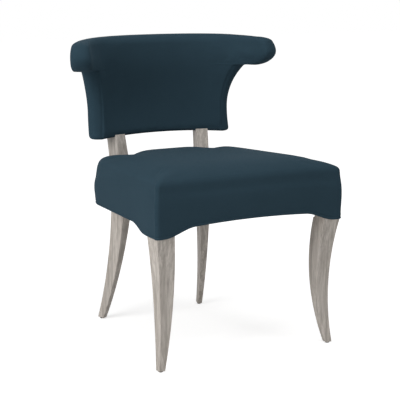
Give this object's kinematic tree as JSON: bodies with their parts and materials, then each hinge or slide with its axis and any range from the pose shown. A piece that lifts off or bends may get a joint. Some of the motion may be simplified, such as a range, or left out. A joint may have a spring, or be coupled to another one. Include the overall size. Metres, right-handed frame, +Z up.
{
  "type": "upholstered side chair",
  "caption": "Armless upholstered side chair with sabre legs, a crowned seat with a scalloped hem, an open gap above the seat and a curved back that widens into a forward-turning crest.",
  "frame": {"origin": "on the floor under the middle of the chair's bounding box", "axes": "+Z up, the front of the chair towards -Y, +X to the right of someone who looks along +Y"},
  "size_m": [0.6506, 0.5767, 0.828],
  "materials": {
    "grey_washed_oak": "matt washed",
    "frame_hardwood": "raw",
    "plywood": "raw",
    "upholstery_fabric": "plain weave",
    "webbing": "woven strap",
    "dust_cloth": "non-woven",
    "glide_plastic": "matt",
    "steel": "zinc plated"
  },
  "bodies": {
    "root": {"back_shell": "plywood", "back_shell_screws": "steel", "corner_block_screws": "steel", "dust_cover": "dust_cloth", "floor_glides": "glide_plastic", "front_corner_block_left": "frame_hardwood", "front_corner_block_right": "frame_hardwood", "front_leg_hanger_bolts": "steel", "front_leg_left": "grey_washed_oak", "front_leg_right": "grey_washed_oak", "front_rail": "frame_hardwood", "hanger_bolt_nuts": "steel", "hanger_bolt_washers": "steel", "inside_back_upholstery": "upholstery_fabric", "outside_back_upholstery": "upholstery_fabric", "rail_dowels": "frame_hardwood", "rear_corner_block_left": "frame_hardwood", "rear_corner_block_right": "frame_hardwood", "rear_leg_left": "grey_washed_oak", "rear_leg_right": "grey_washed_oak", "rear_rail": "frame_hardwood", "seat_upholstery": "upholstery_fabric", "side_rail_left": "frame_hardwood", "side_rail_right": "frame_hardwood", "top_rail": "frame_hardwood", "webbing_front_to_back": "webbing", "webbing_side_to_side": "webbing"}
  },
  "joints": []
}
